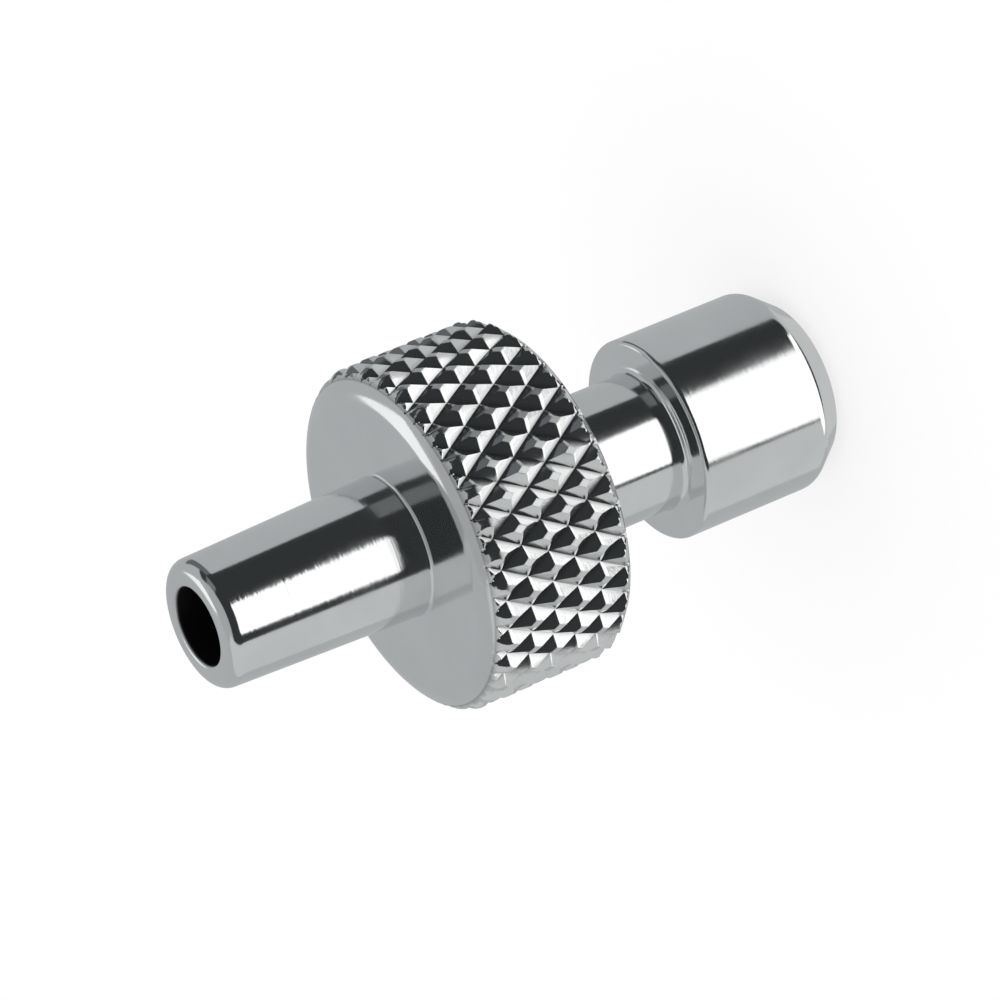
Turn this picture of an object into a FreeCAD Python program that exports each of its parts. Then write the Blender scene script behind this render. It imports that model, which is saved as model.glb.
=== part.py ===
"""Pneumatic test connector: one turned and knurled metal piece, millimetres, +Z towards the nozzle tip.

The origin is the centre of the plug's flat end, on which the piece stands. Going up from there come
the plug, the neck, the knurled grip collar and the tapered nozzle, with one bore through all of them.
"""
import FreeCAD, Part
import Sketcher
import os
from math import ceil, cos, pi, radians, sin, sqrt

os.makedirs("parts", exist_ok=True)
doc = FreeCAD.newDocument("pneumatic_test_connector")

# Driving dimensions: millimetres, the knurl's turn in degrees, the taper as diameter lost per length.
# The knurl's spacing is measured round its crests, and its row step along the axis, pit to crest.
SIZES = {
    "plug_diameter": 6.22,
    "plug_length": 5.15,
    "plug_lead_length": 0.85,
    "plug_lead_depth": 0.65,
    "plug_front_edge": 0.12,
    "neck_diameter": 4.25,
    "neck_length": 4.0,
    "neck_fillet": 0.2,
    "collar_diameter": 10.6,
    "collar_width": 4.9,
    "collar_front_edge": 0.95,
    "collar_rear_edge": 0.36,
    "nozzle_tip_diameter": 3.93,
    "nozzle_length": 6.6,
    "nozzle_taper": 0.06,
    "nozzle_fillet": 0.2,
    "nozzle_tip_edge": 0.14,
    "bore_diameter": 2.4,
    "bore_edge": 0.1,
    "knurl_spacing": 1.0,
    "knurl_row_step": 0.8,
    "knurl_depth": 0.3,
    "knurl_row_offset": 0.68,
    "knurl_turn": 3.455,
    "knurl_topping": 0.05,
}

sheet = doc.addObject("Spreadsheet::Sheet", "Dimensions")
for row, (name, value) in enumerate(SIZES.items(), start=1):
    sheet.set("A%d" % row, name)
    sheet.set("B%d" % row, str(value))
    sheet.setAlias("B%d" % row, name)
doc.recompute()


def size(name):
    """Value of one named cell of the sheet."""
    return float(sheet.get(name))


def height(*lengths):
    """A level above the plug's end as a pair: its value now, and the formula that keeps it so."""
    return sum(size(name) for name in lengths), " + ".join("Dimensions." + name for name in lengths)


def radius(diameter, allowance=None):
    """Half a diameter, with an allowance added where one is named, as a value and its formula."""
    value, formula = size(diameter) / 2, "Dimensions.%s / 2" % diameter
    if allowance:
        value += size(allowance)
        formula += " + Dimensions." + allowance
    return value, formula


# Levels of the shoulders, from the plug's end up, and the radii between them
GROUND = (0.0, "0 mm")
LEAD_TOP = height("plug_lead_length")
PLUG_TOP = height("plug_length")
NECK_TOP = height("plug_length", "neck_length")
COLLAR_TOP = height("plug_length", "neck_length", "collar_width")
TIP = height("plug_length", "neck_length", "collar_width", "nozzle_length")
BORE = radius("bore_diameter")
PLUG = radius("plug_diameter")
PLUG_END = (PLUG[0] - size("plug_lead_depth"), PLUG[1] + " - Dimensions.plug_lead_depth")
NECK = radius("neck_diameter")
BLANK = radius("collar_diameter", "knurl_topping")
NOZZLE_TIP = radius("nozzle_tip_diameter")
NOZZLE_ROOT = (NOZZLE_TIP[0] + size("nozzle_taper") * size("nozzle_length") / 2,
               NOZZLE_TIP[1] + " + Dimensions.nozzle_taper * Dimensions.nozzle_length / 2")

# The turned blank: a half section with sharp corners, spun about the axis
body = doc.addObject("PartDesign::Body", "TurnedBlank")
body.Label = "turned_blank"


def origin_feature(role):
    """Plane or axis of the blank's own origin."""
    return next(item for item in body.Origin.OriginFeatures if item.Role == role)


def turned_profile():
    """Half section of the blank on the XZ plane, each corner held by formulas on the sheet."""
    corners = [
        (BORE, GROUND), (PLUG_END, GROUND), (PLUG, LEAD_TOP), (PLUG, PLUG_TOP),
        (NECK, PLUG_TOP), (NECK, NECK_TOP), (BLANK, NECK_TOP), (BLANK, COLLAR_TOP),
        (NOZZLE_ROOT, COLLAR_TOP), (NOZZLE_TIP, TIP), (BORE, TIP),
    ]
    sketch = body.newObject("Sketcher::SketchObject", "TurnedProfile")
    sketch.AttachmentSupport = [(origin_feature("XZ_Plane"), "")]
    sketch.MapMode = "FlatFace"
    points = [FreeCAD.Vector(across[0], along[0], 0) for across, along in corners]
    following = list(range(1, len(points))) + [0]
    for point, after in zip(points, following):
        sketch.addGeometry(Part.LineSegment(point, points[after]), False)
    for line, after in enumerate(following):
        sketch.addConstraint(Sketcher.Constraint("Coincident", line, 2, after, 1))
    for line, (across, along) in enumerate(corners):
        number = sketch.addConstraint(Sketcher.Constraint("DistanceX", -1, 1, line, 1, across[0]))
        sketch.setExpression("Constraints[%d]" % number, across[1])
        if along is GROUND:
            sketch.addConstraint(Sketcher.Constraint("PointOnObject", line, 1, -1))
            continue
        number = sketch.addConstraint(Sketcher.Constraint("DistanceY", -1, 1, line, 1, along[0]))
        sketch.setExpression("Constraints[%d]" % number, along[1])
    return sketch


profile = turned_profile()
blank = body.newObject("PartDesign::Revolution", "Blank")
blank.Profile = profile
blank.ReferenceAxis = (profile, ["V_Axis"])
blank.Angle = 360
profile.Visibility = False
doc.recompute()


def ring_edges(shape, places):
    """Names of the circular edges at the given pairs of radius and level."""
    names = []
    for number, edge in enumerate(shape.Edges, start=1):
        if not isinstance(edge.Curve, Part.Circle):
            continue
        for across, along in places:
            if abs(edge.Curve.Radius - across[0]) < 1e-4 and abs(edge.Curve.Center.z - along[0]) < 1e-4:
                names.append("Edge%d" % number)
    return names


def dress(kind, name, places, amount):
    """Round or bevel the rings at these places, by an amount that is a formula on the sheet."""
    base = body.Tip
    feature = body.newObject("PartDesign::" + kind, name)
    feature.Base = (base, ring_edges(base.Shape, places))
    feature.setExpression("Radius" if kind == "Fillet" else "Size", amount)
    doc.recompute()
    return feature


# Inside corners are rounded by the tool's nose, and none is rounder than its shoulder has room for.
# The corner behind the collar is a plain bevel that touches the same rounding at its middle.
ROOM_SHARE = 0.9
BEVEL_SHARE = 2 - sqrt(2)
NECK_ROOM = "(%s - %s) - Dimensions.plug_front_edge" % (PLUG[1], NECK[1])
NECK_ROUNDING = "min(Dimensions.neck_fillet; %s * (%s))" % (ROOM_SHARE, NECK_ROOM)
NOZZLE_ROOM = "(%s - (%s)) - Dimensions.collar_front_edge" % (BLANK[1], NOZZLE_ROOT[1])
NOZZLE_ROUNDING = "min(Dimensions.nozzle_fillet; %s * (%s))" % (ROOM_SHARE, NOZZLE_ROOM)
dress("Fillet", "NozzleRoot", [(NOZZLE_ROOT, COLLAR_TOP)], NOZZLE_ROUNDING)
dress("Fillet", "NeckFront", [(NECK, PLUG_TOP)], NECK_ROUNDING)
dress("Chamfer", "NeckRear", [(NECK, NECK_TOP)], "%.4f * %s" % (BEVEL_SHARE, NECK_ROUNDING))

# Outside edges: the collar's broad front rounding, and small bevels on its rear, the plug and the tip
dress("Fillet", "CollarFront", [(BLANK, COLLAR_TOP)], "Dimensions.collar_front_edge")
dress("Chamfer", "CollarRear", [(BLANK, NECK_TOP)], "Dimensions.collar_rear_edge")
dress("Chamfer", "PlugShoulder", [(PLUG, PLUG_TOP)], "Dimensions.plug_front_edge")

# The two bevels of the nozzle's tip share its wall, and some of the flat ring between them stays
EDGE_ROOM = "0.4 * (%s - %s)" % (NOZZLE_TIP[1], BORE[1])
dress("Chamfer", "TipEdge", [(NOZZLE_TIP, TIP)], "min(Dimensions.nozzle_tip_edge; %s)" % EDGE_ROOM)
dress("Chamfer", "BoreMouths", [(BORE, GROUND), (BORE, TIP)],
      "min(Dimensions.bore_edge; %s)" % EDGE_ROOM)


# The diamond knurl: two families of V grooves, wound opposite ways round the collar. Where two
# grooves cross there is a pit, and between four pits a pyramid rises to a crest. Pits and crests
# alternate along rows and columns, so the surface is a grid of flanks, two to each cell.
SPARE_ROW = 0.5
CUTTER_WALL = 1.0


def knurl_grid():
    """Teeth in a ring, and the level of each numbered row, from above the collar to below it."""
    step = size("knurl_row_step")
    offset = size("knurl_row_offset")
    teeth = round(pi * size("collar_diameter") / size("knurl_spacing"))
    above = ceil(offset / step + SPARE_ROW)
    below = ceil((size("collar_width") - offset) / step + SPARE_ROW)
    return teeth, {row: COLLAR_TOP[0] - offset - row * step for row in range(-above, below + 1)}


def knurl_cutter():
    """Closed ring that takes from the collar all that lies outside the knurled surface."""
    teeth, levels = knurl_grid()
    top, bottom = min(levels), max(levels)
    columns = 2 * teeth
    crest = size("collar_diameter") / 2
    pit = crest - size("knurl_depth")
    outside = BLANK[0] + CUTTER_WALL

    def point(reach, column, level):
        turn = radians(size("knurl_turn")) + pi * (column % columns) / teeth
        return FreeCAD.Vector(reach * cos(turn), reach * sin(turn), level)

    def is_pit(column, row):
        return (column + row) % 2 == 1

    def surface_point(column, row):
        return point(pit if is_pit(column, row) else crest, column, levels[row])

    def face(*corners):
        return Part.Face(Part.makePolygon(list(corners) + [corners[0]]))

    faces = []
    for row in range(top, bottom):
        for column in range(columns):
            a = surface_point(column, row)
            b = surface_point(column + 1, row)
            c = surface_point(column + 1, row + 1)
            d = surface_point(column, row + 1)
            # The groove's bottom runs along the diagonal from pit to pit
            if is_pit(column, row):
                faces += [face(a, b, c), face(a, c, d)]
            else:
                faces += [face(a, b, d), face(b, c, d)]
    for column in range(columns):
        faces.append(face(point(outside, column, levels[top]), point(outside, column + 1, levels[top]),
                          point(outside, column + 1, levels[bottom]), point(outside, column, levels[bottom])))
    for row in (top, bottom):
        rim = [point(outside, column, levels[row]) for column in range(columns + 1)]
        inner = [surface_point(column, row) for column in range(columns + 1)]
        rings = [Part.makePolygon(rim), Part.makePolygon(inner)]
        faces.append(Part.makeFace(rings, "Part::FaceMakerBullseye"))
    shell = Part.makeShell(faces)
    shell.sewShape()
    solid = Part.makeSolid(shell)
    if solid.Volume < 0:
        solid.reverse()
    return solid


cutter = doc.addObject("Part::Feature", "KnurlCutter")
cutter.Label = "knurl_cutter"
cutter.Shape = knurl_cutter()

connector = doc.addObject("Part::Cut", "Connector")
connector.Base = body
connector.Tool = cutter
connector.Label = "connector_body"
doc.recompute()

# Nothing is written unless every feature worked and the knurl took metal off the blank
for item in doc.Objects:
    if "Invalid" in item.State or "Error" in item.State:
        raise RuntimeError("%s did not recompute: %s" % (item.Label, item.State))
for item in (body, cutter, connector):
    if item.Shape.isNull() or not item.Shape.isValid():
        raise RuntimeError("%s has no valid shape" % item.Label)
if len(connector.Shape.Solids) != 1 or not 0 < connector.Shape.Volume < body.Shape.Volume:
    raise RuntimeError("the knurl did not cut the collar as one solid")

connector.Shape.exportStep("parts/%s.step" % connector.Label)
print("%s: %.2f mm3, %d faces, %d knurl teeth round"
      % (connector.Label, connector.Shape.Volume, len(connector.Shape.Faces), knurl_grid()[0]))
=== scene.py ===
import bpy
import bmesh
from math import atan2, cos, floor, hypot, pi, radians, sin, sqrt, tan
from mathutils import Matrix


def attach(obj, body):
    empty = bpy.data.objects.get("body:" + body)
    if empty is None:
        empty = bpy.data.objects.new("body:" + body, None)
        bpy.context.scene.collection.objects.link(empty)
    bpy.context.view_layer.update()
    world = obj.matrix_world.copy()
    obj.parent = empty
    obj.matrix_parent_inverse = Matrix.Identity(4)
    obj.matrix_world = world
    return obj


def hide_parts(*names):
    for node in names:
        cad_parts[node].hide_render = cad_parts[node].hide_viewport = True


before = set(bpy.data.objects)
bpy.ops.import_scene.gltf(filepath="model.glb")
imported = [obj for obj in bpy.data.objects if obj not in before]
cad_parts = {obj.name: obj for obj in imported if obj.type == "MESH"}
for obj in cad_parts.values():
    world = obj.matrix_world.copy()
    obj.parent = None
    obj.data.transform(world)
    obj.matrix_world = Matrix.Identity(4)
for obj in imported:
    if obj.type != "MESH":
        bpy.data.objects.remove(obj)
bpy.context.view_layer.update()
scene = bpy.context.scene
scene.view_settings.view_transform = "Standard"


# Camera: a long lens in front of the part and 25.6 degrees above it, rolled so that the nozzle
# points to the lower left. The distance keeps the slight narrowing towards the plug.
lens_barrel = bpy.data.cameras.new("camera")
lens_barrel.sensor_width = 36.0
lens_barrel.lens = 219.65
lens_barrel.clip_start = 0.01
lens_barrel.clip_end = 10.0
camera = bpy.data.objects.new("camera", lens_barrel)
camera.location = (0.00004, -0.16002, 0.08711)
camera.rotation_mode = "ZXY"
camera.rotation_euler = (radians(64.362), 0.0, radians(-112.524))
scene.collection.objects.link(camera)
scene.camera = camera


# Table: a white board under the part. It is matt and takes the part's soft shadow, faint as in a
# bright light tent. In the metal's mirror images the cards below stand in for it.
board = bmesh.new()
bmesh.ops.create_grid(board, x_segments=1, y_segments=1, size=2.0)
board_mesh = bpy.data.meshes.new("table")
board.to_mesh(board_mesh)
board.free()
table = bpy.data.objects.new("table", board_mesh)
scene.collection.objects.link(table)
board_paint = bpy.data.materials.new("white_board")
board_paint.use_nodes = True
nodes, links = board_paint.node_tree.nodes, board_paint.node_tree.links
paint = nodes["Principled BSDF"]
paint.inputs["Base Color"].default_value = (0.97, 0.97, 0.97, 1.0)
paint.inputs["Roughness"].default_value = 0.9
paint.inputs["Specular IOR Level"].default_value = 0.0
plain_white = nodes.new("ShaderNodeEmission")
seen_board = nodes.new("ShaderNodeMixShader")
seen_board.inputs["Fac"].default_value = 0.72
links.new(paint.outputs["BSDF"], seen_board.inputs[1])
links.new(plain_white.outputs["Emission"], seen_board.inputs[2])
eye = nodes.new("ShaderNodeLightPath")
board_surface = nodes.new("ShaderNodeMixShader")
links.new(eye.outputs["Is Camera Ray"], board_surface.inputs["Fac"])
links.new(paint.outputs["BSDF"], board_surface.inputs[1])
links.new(seen_board.outputs["Shader"], board_surface.inputs[2])
links.new(board_surface.outputs["Shader"], nodes["Material Output"].inputs["Surface"])
board_mesh.materials.append(board_paint)
table.visible_glossy = False


# Room: even white light from all round. One broad soft lamp above the camera, turned a little away
# from the part, keeps the board in front of it bright.
room = bpy.data.worlds.new("white_room")
room.use_nodes = True
walls = room.node_tree.nodes["Background"]
walls.inputs["Color"].default_value = (1.0, 1.0, 1.0, 1.0)
walls.inputs["Strength"].default_value = 1.0
scene.world = room
lamp = bpy.data.lights.new("overhead_lamp", "AREA")
lamp.shape = "DISK"
lamp.size = 0.30
lamp.energy = 0.2
overhead = bpy.data.objects.new("overhead_lamp", lamp)
overhead.location = (0.0, -0.16, 0.30)
overhead.rotation_euler = (radians(-28), 0.0, 0.0)
overhead.visible_glossy = False
scene.collection.objects.link(overhead)


# Cards: panels round, over and under the part, seen only in the metal. The upright ones are strips
# of a tall ring, from one bearing to another, counted from the camera towards +X.
CARD_RING = 1.50
DARK = (0.92, 1.0, 1.06)
GREY = (0.97, 1.0, 1.02)
PALE = (0.98, 1.0, 1.0)
WHITE = (1.0, 1.0, 1.0)


def show_in_metal(name, mesh, tint, strength):
    """Makes an evenly glowing card of a mesh, one that only mirror images show."""
    panel = bpy.data.objects.new(name, mesh)
    scene.collection.objects.link(panel)
    glow = bpy.data.materials.new(name)
    glow.use_nodes = True
    glow.node_tree.nodes.clear()
    source = glow.node_tree.nodes.new("ShaderNodeEmission")
    source.inputs["Color"].default_value = tint + (1.0,)
    source.inputs["Strength"].default_value = strength
    output = glow.node_tree.nodes.new("ShaderNodeOutputMaterial")
    glow.node_tree.links.new(source.outputs["Emission"], output.inputs["Surface"])
    mesh.materials.append(glow)
    panel.visible_camera = False
    panel.visible_diffuse = False
    panel.visible_transmission = False
    panel.visible_shadow = False


def upright_card(name, start, end, low, high, tint, strength):
    """One curved card between two bearings and two elevations."""
    strip = bmesh.new()
    bearing = radians(start) - pi / 2
    lower, upper = (strip.verts.new((CARD_RING * cos(bearing), CARD_RING * sin(bearing),
                                     CARD_RING * tan(radians(level)))) for level in (low, high))
    strip.edges.new((lower, upper))
    bmesh.ops.spin(strip, geom=strip.verts[:] + strip.edges[:], cent=(0, 0, 0), axis=(0, 0, 1),
                   dvec=(0, 0, 0), angle=radians(end - start), steps=24, use_merge=False,
                   use_duplicate=False)
    mesh = bpy.data.meshes.new(name)
    strip.to_mesh(mesh)
    strip.free()
    show_in_metal(name, mesh, tint, strength)


def level_card(name, level, corners, tint, strength):
    """One flat card lying level, between corners given across and along the camera's line."""
    sheet = bmesh.new()
    sheet.faces.new([sheet.verts.new((across, along, level)) for across, along in corners])
    mesh = bpy.data.meshes.new(name)
    sheet.to_mesh(mesh)
    sheet.free()
    show_in_metal(name, mesh, tint, strength)


level_card("white_sheet", -0.300,
           ((-0.309, -0.030), (0.165, -0.030), (0.195, -0.110), (0.320, -0.260),
            (0.180, -1.050), (-0.727, -1.050), (-0.430, -0.350)), WHITE, 1.5)
level_card("part_shade", -0.298,
           ((-0.190, -0.030), (-0.105, -0.115), (0.0, -0.143), (0.105, -0.115), (0.190, -0.030)),
           (0.95, 1.0, 1.04), 0.05)
level_card("grey_table", -1.750, ((-1.5, -1.5), (1.5, -1.5), (1.5, 1.5), (-1.5, 1.5)), PALE, 0.64)
upright_card("dark_front", -54.5, 76, -50, 16, DARK, 0.04)
upright_card("dark_front_high", -54.5, 48, 16, 45, DARK, 0.04)
upright_card("front_glint", 48, 76, 16, 45, GREY, 0.20)
upright_card("dark_strip", 76, 96, 12, 45, DARK, 0.05)
upright_card("grey_front_high", -54.5, 96, 45, 67, GREY, 0.45)
upright_card("dim_side", 76, 132, -15, 12, DARK, 0.15)
upright_card("grey_back_mid", 132, 160, -15, 12, GREY, 0.50)
upright_card("side_card", -120, -54.5, -50, 67, PALE, 0.64)
upright_card("grey_back_low", 76, 160, -50, -15, GREY, 0.50)
upright_card("grey_back", 160, 240, -50, 67, GREY, 0.50)
upright_card("grey_back_high", 96, 160, 12, 67, GREY, 0.50)
level_card("white_panel", 0.850, ((0.035, 0.40), (0.50, 0.40), (0.50, 1.30), (0.035, 1.30)), WHITE, 1.1)
level_card("grey_ceiling", 3.50, ((-1.7, -1.7), (1.7, -1.7), (1.7, 1.7), (-1.7, 1.7)),
           (0.98, 1.0, 1.01), 0.45)


# Connector: one turned metal piece, brass under bright plating, knurled with a diamond pattern
# round its collar. The half section is drawn first, its corners rounded, and spun about the axis.
# A REACH is a distance from the axis and a TOP a level above the plug's end, in millimetres.
MM = 0.001
BORE_REACH = 1.2
END_REACH = 2.46
PLUG_REACH = 3.11
NECK_REACH = 2.125
ROOT_REACH = 2.163
TIP_REACH = 1.965
LEAD_TOP = 0.85
PLUG_TOP = 5.15
NECK_TOP = 9.15
COLLAR_TOP = 14.05
TIP = 20.65

# The collar is BLANK before knurling, and its knurl's flats stand at CREST
BLANK = 5.35
CREST = 5.296
FRONT_ROUND = 0.95
REAR_BEVEL = 0.36

# Teeth round the collar, the turn and level of one crest, the rows' spacing, the small cells in
# one row, the levels and the reach that the knurl stays within, and the shape of its flanks
TEETH = 33
TURN = radians(3.455)
ROW_TOP = COLLAR_TOP - 0.68
ROW = 0.8
FINE = 8
KNURL_FROM = 9.20
KNURL_TO = 13.81
KNURL_FLOOR = 5.0
FLANK_RISE = 0.356
FLAT_FROM = 0.75

round_centre = (BLANK - FRONT_ROUND, COLLAR_TOP - FRONT_ROUND)


def collar_side(level):
    """Radius of the plain collar at a level: bevelled at the rear, broadly rounded at the front."""
    across = min(BLANK, BLANK - REAR_BEVEL + level - NECK_TOP)
    rise = level - round_centre[1]
    if rise > 0:
        across = min(across, round_centre[0] + sqrt(FRONT_ROUND ** 2 - rise ** 2))
    return across


fine_row = ROW / FINE
wall_low = ROW_TOP - floor((ROW_TOP - KNURL_FROM) / fine_row) * fine_row
wall_high = ROW_TOP + floor((KNURL_TO - ROW_TOP) / fine_row) * fine_row
turned = atan2(collar_side(wall_high) - round_centre[0], wall_high - round_centre[1])
arc_left = FRONT_ROUND * tan(turned / 2)

# Every corner of the half section, with the length that its rounding takes from either side and
# the steps in it. The two without a rounding are the ends of the collar's side
corners = (
    (BORE_REACH, 0.0, 0.1, 2),
    (END_REACH, 0.0, 0.06, 3),
    (PLUG_REACH, LEAD_TOP, 0.14, 4),
    (PLUG_REACH, PLUG_TOP, 0.12, 4),
    (NECK_REACH, PLUG_TOP, 0.2, 5),
    (NECK_REACH, NECK_TOP, 0.2, 5),
    (BLANK - REAR_BEVEL, NECK_TOP, 0.04, 2),
    (collar_side(wall_low), wall_low, 0.0, 0),
    (collar_side(wall_high), wall_high, 0.0, 0),
    (round_centre[0] + arc_left, COLLAR_TOP, arc_left * 0.995, 8),
    (ROOT_REACH, COLLAR_TOP, 0.08, 4),
    (TIP_REACH, TIP, 0.38, 9),
    (BORE_REACH, TIP, 0.1, 3),
)
connector = bmesh.new()
outline = [connector.verts.new((corner[0] * MM, 0.0, corner[1] * MM)) for corner in corners]
lines = [connector.edges.new(pair) for pair in zip(outline, outline[1:] + outline[:1])]
side = lines[[steps for across, along, rounding, steps in corners].index(0)]

# The collar's side gets rows of points, eight to each row of the knurl, on the blank's outline
rows = round((wall_high - wall_low) / fine_row)
bmesh.ops.subdivide_edges(connector, edges=[side], cuts=rows - 1)
for point in connector.verts:
    if wall_low < point.co.z / MM < wall_high:
        point.co.x = collar_side(point.co.z / MM) * MM

for across, along, rounding, steps in corners:
    if steps:
        sharp = min(connector.verts, key=lambda v: hypot(v.co.x / MM - across, v.co.z / MM - along))
        bmesh.ops.bevel(connector, geom=[sharp], offset=rounding * MM, offset_type="OFFSET",
                        segments=steps, profile=0.5, affect="VERTICES", material=-1)

# Each long line gets a point close to either end, so that the roundings don't shade into it
LONG_LINE = 0.13
END_GAP = 0.025
for line in [edge for edge in connector.edges if edge.calc_length() > LONG_LINE * MM]:
    for end in list(line.verts):
        bmesh.utils.edge_split(line, end, END_GAP * MM / line.calc_length())
bmesh.ops.remove_doubles(connector, verts=connector.verts[:], dist=0.004 * MM)
bmesh.ops.rotate(connector, verts=connector.verts[:], cent=(0, 0, 0),
                 matrix=Matrix.Rotation(TURN, 3, "Z"))
bmesh.ops.spin(connector, geom=connector.verts[:] + connector.edges[:], cent=(0, 0, 0), axis=(0, 0, 1),
               dvec=(0, 0, 0), angle=2 * pi, steps=2 * TEETH * FINE, use_merge=True,
               use_duplicate=False)
bmesh.ops.remove_doubles(connector, verts=connector.verts[:], dist=0.0005 * MM)


# The knurl: two families of V grooves wound opposite ways. A point's height is its distance from the
# nearer groove, up to the flats, and the metal is never higher than the plain collar was.
def knurl(turn, level):
    """Radius of the knurled surface at an angle round the axis and a level."""
    column = (turn - TURN) * TEETH / pi
    row = (ROW_TOP - level) / ROW
    slope = min(abs((column + row) % 2 - 1), abs((column - row) % 2 - 1))
    return CREST - FLANK_RISE * max(FLAT_FROM - slope, 0.0)


LEVEL_PLAY = 0.01
for point in connector.verts:
    x, y, level = point.co / MM
    across = hypot(x, y)
    if across < KNURL_FLOOR or not wall_low - LEVEL_PLAY < level < wall_high + LEVEL_PLAY:
        continue
    deeper = knurl(atan2(y, x), level)
    if deeper < across:
        point.co.x *= deeper / across
        point.co.y *= deeper / across

# Each small quad of the knurl folds along its more level diagonal, or the lower one where both are
# level, so that every groove and the rim of every flat keeps a clean line
EVEN = 0.002
for face in connector.faces[:]:
    depth = [hypot(v.co.x, v.co.y) for v in face.verts]
    if len(depth) != 4 or min(depth) < KNURL_FLOOR * MM:
        continue
    fold = abs(depth[0] - depth[2]) - abs(depth[1] - depth[3])
    if abs(fold) < EVEN * MM:
        fold = depth[0] + depth[2] - depth[1] - depth[3]
    first = 0 if fold < 0 else 1
    bmesh.utils.face_split(face, face.verts[first], face.verts[first + 2])

bmesh.ops.recalc_face_normals(connector, faces=connector.faces[:])
for face in connector.faces:
    face.smooth = True

# The grooves' bottoms, the rims of the flats and the steep ridges are crisp, and the level ridges
# between flanks are slightly soft
CRISP_GROOVE = radians(-25)
CRISP_RIM = radians(25)
CRISP_RIDGE = radians(50)
ON_FLAT = CREST - 0.004
for edge in connector.edges:
    bend = edge.calc_face_angle_signed(0.0)
    reaches = [end.co.xy.length for end in edge.verts]
    crisp_from = CRISP_RIM if min(reaches) > ON_FLAT * MM else CRISP_RIDGE
    if reaches[0] > KNURL_FLOOR * MM and (bend < CRISP_GROOVE or bend > crisp_from):
        edge.smooth = False
connector_mesh = bpy.data.meshes.new("connector")
connector.to_mesh(connector_mesh)
connector.free()
piece = bpy.data.objects.new("connector", connector_mesh)
scene.collection.objects.link(piece)

# Plating: bright and slightly soft. The lathe left fine rings on every turned face, which follow
# the distance from the axis and the level. The bore is dull inside and painted dark as shade, and
# the bottoms of the knurl's grooves are painted darker, a painted shade
plating = bpy.data.materials.new("bright_plating")
plating.use_nodes = True
nodes, links = plating.node_tree.nodes, plating.node_tree.links
metal = nodes["Principled BSDF"]
metal.inputs["Metallic"].default_value = 1.0


def noise(where, scale, detail, roughness):
    """A fine random pattern laid out by the given coordinates."""
    pattern = nodes.new("ShaderNodeTexNoise")
    pattern.inputs["Scale"].default_value = scale
    pattern.inputs["Detail"].default_value = detail
    pattern.inputs["Roughness"].default_value = roughness
    links.new(where, pattern.inputs["Vector"])
    return pattern


def between(value, low, high, at_low, at_high):
    """A number that goes evenly from one amount to another as a value crosses a range."""
    span = nodes.new("ShaderNodeMapRange")
    span.inputs["From Min"].default_value = low
    span.inputs["From Max"].default_value = high
    span.inputs["To Min"].default_value = at_low
    span.inputs["To Max"].default_value = at_high
    links.new(value, span.inputs["Value"])
    return span.outputs["Result"]


def total(one, other):
    """The sum of two numbers that change over the surface."""
    adder = nodes.new("ShaderNodeMath")
    adder.operation = "ADD"
    links.new(one, adder.inputs[0])
    links.new(other, adder.inputs[1])
    return adder.outputs["Value"]


place = nodes.new("ShaderNodeTexCoord")
parts = nodes.new("ShaderNodeSeparateXYZ")
links.new(place.outputs["Object"], parts.inputs["Vector"])
across_axis = nodes.new("ShaderNodeVectorMath")
across_axis.operation = "MULTIPLY"
across_axis.inputs[1].default_value = (1.0, 1.0, 0.0)
links.new(place.outputs["Object"], across_axis.inputs[0])
reach = nodes.new("ShaderNodeVectorMath")
reach.operation = "LENGTH"
links.new(across_axis.outputs["Vector"], reach.inputs[0])
ring_place = nodes.new("ShaderNodeCombineXYZ")
links.new(reach.outputs["Value"], ring_place.inputs["X"])
links.new(parts.outputs["Z"], ring_place.inputs["Y"])

turning_marks = noise(ring_place.outputs["Vector"], 6500.0, 3.0, 0.6)
turning_marks.noise_dimensions = "2D"
grain = noise(place.outputs["Object"], 9000.0, 2.0, 0.5)
smudges = noise(place.outputs["Object"], 420.0, 4.0, 0.6)

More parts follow.
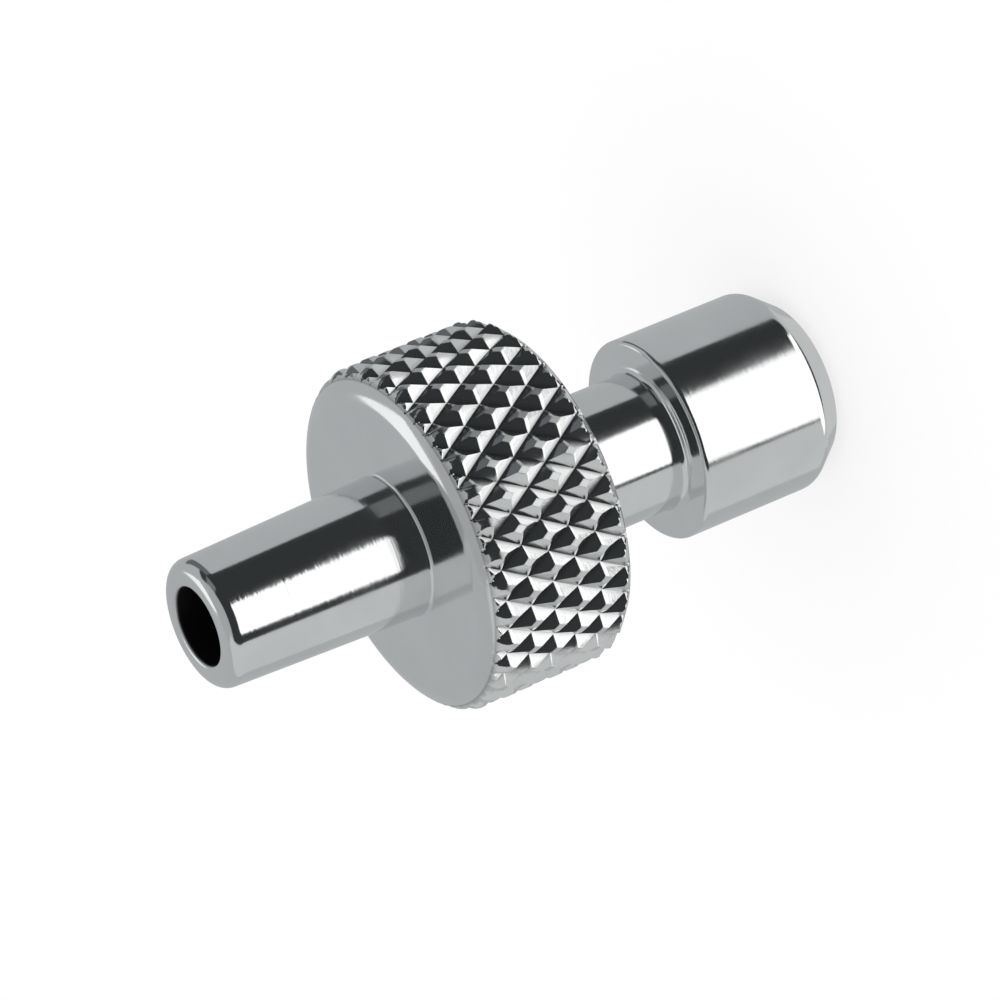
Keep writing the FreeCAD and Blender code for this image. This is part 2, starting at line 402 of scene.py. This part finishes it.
# The rings are strongest on the nozzle and fainter on the collar, neck and plug
BODY_UP_TO = 13.9
NOZZLE_FROM = 14.1
rings_relief = nodes.new("ShaderNodeBump")
rings_relief.inputs["Distance"].default_value = 0.0025 * MM
ring_depth = between(parts.outputs["Z"], BODY_UP_TO * MM, NOZZLE_FROM * MM, 0.3, 1.0)
links.new(ring_depth, rings_relief.inputs["Strength"])
links.new(turning_marks.outputs["Fac"], rings_relief.inputs["Height"])
grain_relief = nodes.new("ShaderNodeBump")
grain_relief.inputs["Strength"].default_value = 1.0
grain_relief.inputs["Distance"].default_value = 0.0006 * MM
links.new(grain.outputs["Fac"], grain_relief.inputs["Height"])
links.new(rings_relief.outputs["Normal"], grain_relief.inputs["Normal"])
links.new(grain_relief.outputs["Normal"], metal.inputs["Normal"])

# Tone by the distance from the axis: painted shade in the bore and low in the grooves, bright plating
BORE_EDGE = 1.205
BORE_FACE = 1.25
RAMP_REACH = 5.5
reach_share = nodes.new("ShaderNodeMath")
reach_share.operation = "DIVIDE"
reach_share.inputs[1].default_value = RAMP_REACH * MM
links.new(reach.outputs["Value"], reach_share.inputs[0])
tone_and_painted_shade = nodes.new("ShaderNodeValToRGB")
# Painted shade: the inside of the bore is near black
tone_and_painted_shade.color_ramp.elements[0].position = BORE_EDGE / RAMP_REACH
tone_and_painted_shade.color_ramp.elements[0].color = (0.10, 0.10, 0.10, 1.0)
tone_and_painted_shade.color_ramp.elements[1].position = BORE_FACE / RAMP_REACH
tone_and_painted_shade.color_ramp.elements[1].color = (0.78, 0.79, 0.79, 1.0)
# Painted shade: darker stops low in the knurl's grooves
for at, shade in ((4.99, 0.785), (5.02, 0.45), (5.05, 0.60), (5.13, 0.785)):
    stop = tone_and_painted_shade.color_ramp.elements.new(at / RAMP_REACH)
    stop.color = (shade * 0.99, shade, shade, 1.0)
links.new(reach_share.outputs["Value"], tone_and_painted_shade.inputs["Fac"])
stains_and_painted_shade = nodes.new("ShaderNodeVectorMath")
stains_and_painted_shade.operation = "SCALE"
links.new(tone_and_painted_shade.outputs["Color"], stains_and_painted_shade.inputs[0])
links.new(between(smudges.outputs["Fac"], 0.35, 0.70, 1.0, 0.95), stains_and_painted_shade.inputs["Scale"])
links.new(stains_and_painted_shade.outputs["Vector"], metal.inputs["Base Color"])

# The polish varies with the smudges, and the bore and the knurl's flats are duller
FLAT_EDGE = 5.27
FLAT_FACE = 5.295
polish = between(smudges.outputs["Fac"], 0.3, 0.7, 0.09, 0.15)
dull_bore = between(reach.outputs["Value"], BORE_EDGE * MM, BORE_FACE * MM, 0.30, 0.0)
dull_flats = between(reach.outputs["Value"], FLAT_EDGE * MM, FLAT_FACE * MM, 0.0, 0.30)
links.new(total(polish, total(dull_bore, dull_flats)), metal.inputs["Roughness"])
connector_mesh.materials.append(plating)

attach(piece, "root")
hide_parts("connector_body")
